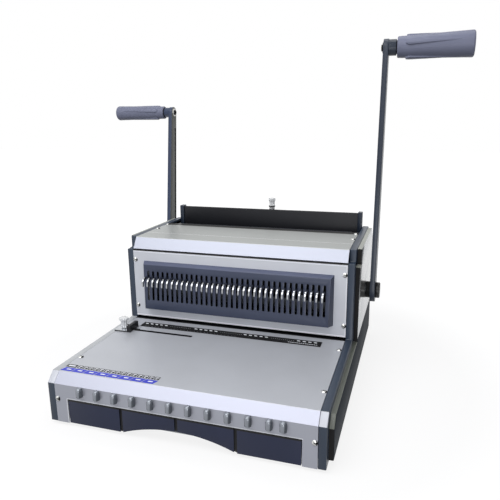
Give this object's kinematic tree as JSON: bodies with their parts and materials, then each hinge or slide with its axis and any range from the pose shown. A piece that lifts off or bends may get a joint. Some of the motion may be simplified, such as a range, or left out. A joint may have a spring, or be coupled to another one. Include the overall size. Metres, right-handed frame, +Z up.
{
  "type": "wire binding machine",
  "caption": "Desk machine that punches a row of square holes along a paper edge and presses a wire comb shut, with two levers, a chip drawer and pin pulls.",
  "frame": {"origin": "on the desk, under the middle of the whole machine with its levers up", "axes": "+X to the right as the user sees it, along the shafts and the row of punches; +Y back, away from the user; +Z up"},
  "size_m": [0.6496, 0.4702, 0.5107],
  "materials": {
    "silver_sheet": "satin silver grey paint",
    "navy_plastic": "fine grained",
    "navy_paint": "satin",
    "violet_plastic": "fine grained",
    "slate_plastic": "satin",
    "black_paint": "satin",
    "black_plastic": "satin",
    "foot_rubber": "matte",
    "inner_steel": "ground",
    "bright_steel": "nickel plated",
    "grip_plastic": "fine grained",
    "pull_plastic": "satin"
  },
  "bodies": {
    "frame": {"base_pan": "silver_sheet", "base_top": "silver_sheet", "side_frame_left": "inner_steel", "side_frame_right": "inner_steel", "side_cover_left": "navy_plastic", "side_cover_right": "navy_plastic", "front_panel": "silver_sheet", "hook_trim": "violet_plastic", "hook_rail": "inner_steel", "wire_hooks": "bright_steel", "cover_front": "silver_sheet", "cover_rear": "silver_sheet", "rear_panel": "silver_sheet", "closer_bed": "black_paint", "closer_anvil": "inner_steel", "die_block": "inner_steel", "guide_block": "inner_steel", "back_gauge": "inner_steel", "tie_rods": "inner_steel", "shaft_bushes": "black_plastic", "pull_guide": "inner_steel", "rubber_feet": "foot_rubber", "panel_screws": "bright_steel", "ruler_strip": "black_plastic", "punch_springs": "bright_steel"},
    "punch_lever": {"punch_shaft": "inner_steel", "punch_eccentrics": "inner_steel", "punch_arm": "navy_paint", "punch_cap": "black_plastic", "punch_grip_bolt": "bright_steel"},
    "punch_grip": {"punch_grip": "grip_plastic"},
    "press": {"pressure_bar": "inner_steel", "punch_pins": "bright_steel", "pin_latches": "bright_steel"},
    "closer_lever": {"closer_shaft": "inner_steel", "closer_cranks": "inner_steel", "closer_arm": "navy_paint", "closer_cap": "black_plastic", "closer_grip_bolt": "bright_steel"},
    "closer_grip": {"closer_grip": "grip_plastic"},
    "closer_slide": {"closer_carriage": "inner_steel", "closer_bar": "black_paint", "closer_brackets": "navy_paint"},
    "edge_guide": {"edge_guide": "black_plastic"},
    "guide_clamp": {"guide_clamp": "pull_plastic"},
    "size_knob": {"size_knob": "grip_plastic"},
    "drawer": {"waste_drawer": "slate_plastic", "drawer_front": "slate_plastic"},
    "pin_pull_01": {"pin_pull_01": "pull_plastic"},
    "pin_pull_02": {"pin_pull_02": "pull_plastic"},
    "pin_pull_03": {"pin_pull_03": "pull_plastic"},
    "pin_pull_04": {"pin_pull_04": "pull_plastic"},
    "pin_pull_05": {"pin_pull_05": "pull_plastic"},
    "pin_pull_06": {"pin_pull_06": "pull_plastic"},
    "pin_pull_07": {"pin_pull_07": "pull_plastic"},
    "pin_pull_08": {"pin_pull_08": "pull_plastic"},
    "pin_pull_09": {"pin_pull_09": "pull_plastic"},
    "pin_pull_10": {"pin_pull_10": "pull_plastic"},
    "pin_pull_11": {"pin_pull_11": "pull_plastic"},
    "pin_pull_12": {"pin_pull_12": "pull_plastic"}
  },
  "joints": [
    {"name": "punch_lever_turn", "type": "hinge", "parent": "frame", "child": "punch_lever", "pos_m": [-0.00225, 0.04412, 0.13763], "axis": [1, 0, 0], "range_deg": [0, 80]},
    {"name": "punch_grip_turn", "type": "hinge", "parent": "punch_lever", "child": "punch_grip", "pos_m": [0.22175, 0.08144, 0.49268], "axis": [1, 0, 0], "continuous": true},
    {"name": "press_slide", "type": "slide", "parent": "frame", "child": "press", "axis": [0, 0, -1], "range_m": [0, 0.012], "stiffness_N_per_m": 8000, "springref_m": -0.015, "deforming": ["punch_springs"]},
    {"name": "closer_lever_turn", "type": "hinge", "parent": "frame", "child": "closer_lever", "pos_m": [-0.00225, 0.19065, 0.1446], "axis": [1, 0, 0], "range_deg": [0, 80]},
    {"name": "closer_grip_turn", "type": "hinge", "parent": "closer_lever", "child": "closer_grip", "pos_m": [-0.22175, 0.22134, 0.40983], "axis": [1, 0, 0], "continuous": true},
    {"name": "closer_slide_move", "type": "slide", "parent": "frame", "child": "closer_slide", "axis": [0, -1, 0], "range_m": [0, 0.02829]},
    {"name": "drawer_slide", "type": "slide", "parent": "frame", "child": "drawer", "axis": [0, -1, 0], "range_m": [0, 0.22]},
    {"name": "edge_guide_slide", "type": "slide", "parent": "frame", "child": "edge_guide", "axis": [1, 0, 0], "range_m": [0, 0.085]},
    {"name": "guide_clamp_turn", "type": "hinge", "parent": "edge_guide", "child": "guide_clamp", "pos_m": [-0.17025, -0.06184, 0.0806], "axis": [0, 0, 1], "range_deg": [0, 180]},
    {"name": "size_knob_turn", "type": "hinge", "parent": "frame", "child": "size_knob", "pos_m": [0.00335, 0.19616, 0.2226], "axis": [0, 0, 1], "range_deg": [0, 300]},
    {"name": "pin_pull_01_slide", "type": "slide", "parent": "frame", "child": "pin_pull_01", "axis": [0, -1, 0], "range_m": [0, 0.008]},
    {"name": "pin_pull_02_slide", "type": "slide", "parent": "frame", "child": "pin_pull_02", "axis": [0, -1, 0], "range_m": [0, 0.008]},
    {"name": "pin_pull_03_slide", "type": "slide", "parent": "frame", "child": "pin_pull_03", "axis": [0, -1, 0], "range_m": [0, 0.008]},
    {"name": "pin_pull_04_slide", "type": "slide", "parent": "frame", "child": "pin_pull_04", "axis": [0, -1, 0], "range_m": [0, 0.008]},
    {"name": "pin_pull_05_slide", "type": "slide", "parent": "frame", "child": "pin_pull_05", "axis": [0, -1, 0], "range_m": [0, 0.008]},
    {"name": "pin_pull_06_slide", "type": "slide", "parent": "frame", "child": "pin_pull_06", "axis": [0, -1, 0], "range_m": [0, 0.008]},
    {"name": "pin_pull_07_slide", "type": "slide", "parent": "frame", "child": "pin_pull_07", "axis": [0, -1, 0], "range_m": [0, 0.008]},
    {"name": "pin_pull_08_slide", "type": "slide", "parent": "frame", "child": "pin_pull_08", "axis": [0, -1, 0], "range_m": [0, 0.008]},
    {"name": "pin_pull_09_slide", "type": "slide", "parent": "frame", "child": "pin_pull_09", "axis": [0, -1, 0], "range_m": [0, 0.008]},
    {"name": "pin_pull_10_slide", "type": "slide", "parent": "frame", "child": "pin_pull_10", "axis": [0, -1, 0], "range_m": [0, 0.008]},
    {"name": "pin_pull_11_slide", "type": "slide", "parent": "frame", "child": "pin_pull_11", "axis": [0, -1, 0], "range_m": [0, 0.008]},
    {"name": "pin_pull_12_slide", "type": "slide", "parent": "frame", "child": "pin_pull_12", "axis": [0, -1, 0], "range_m": [0, 0.008]}
  ],
  "couplings": [
    {"joint": "press_slide", "follows": "punch_lever_turn", "m_per_rad": 0.0085944},
    {"joint": "closer_slide_move", "follows": "closer_lever_turn", "m_per_rad": 0.020256}
  ]
}
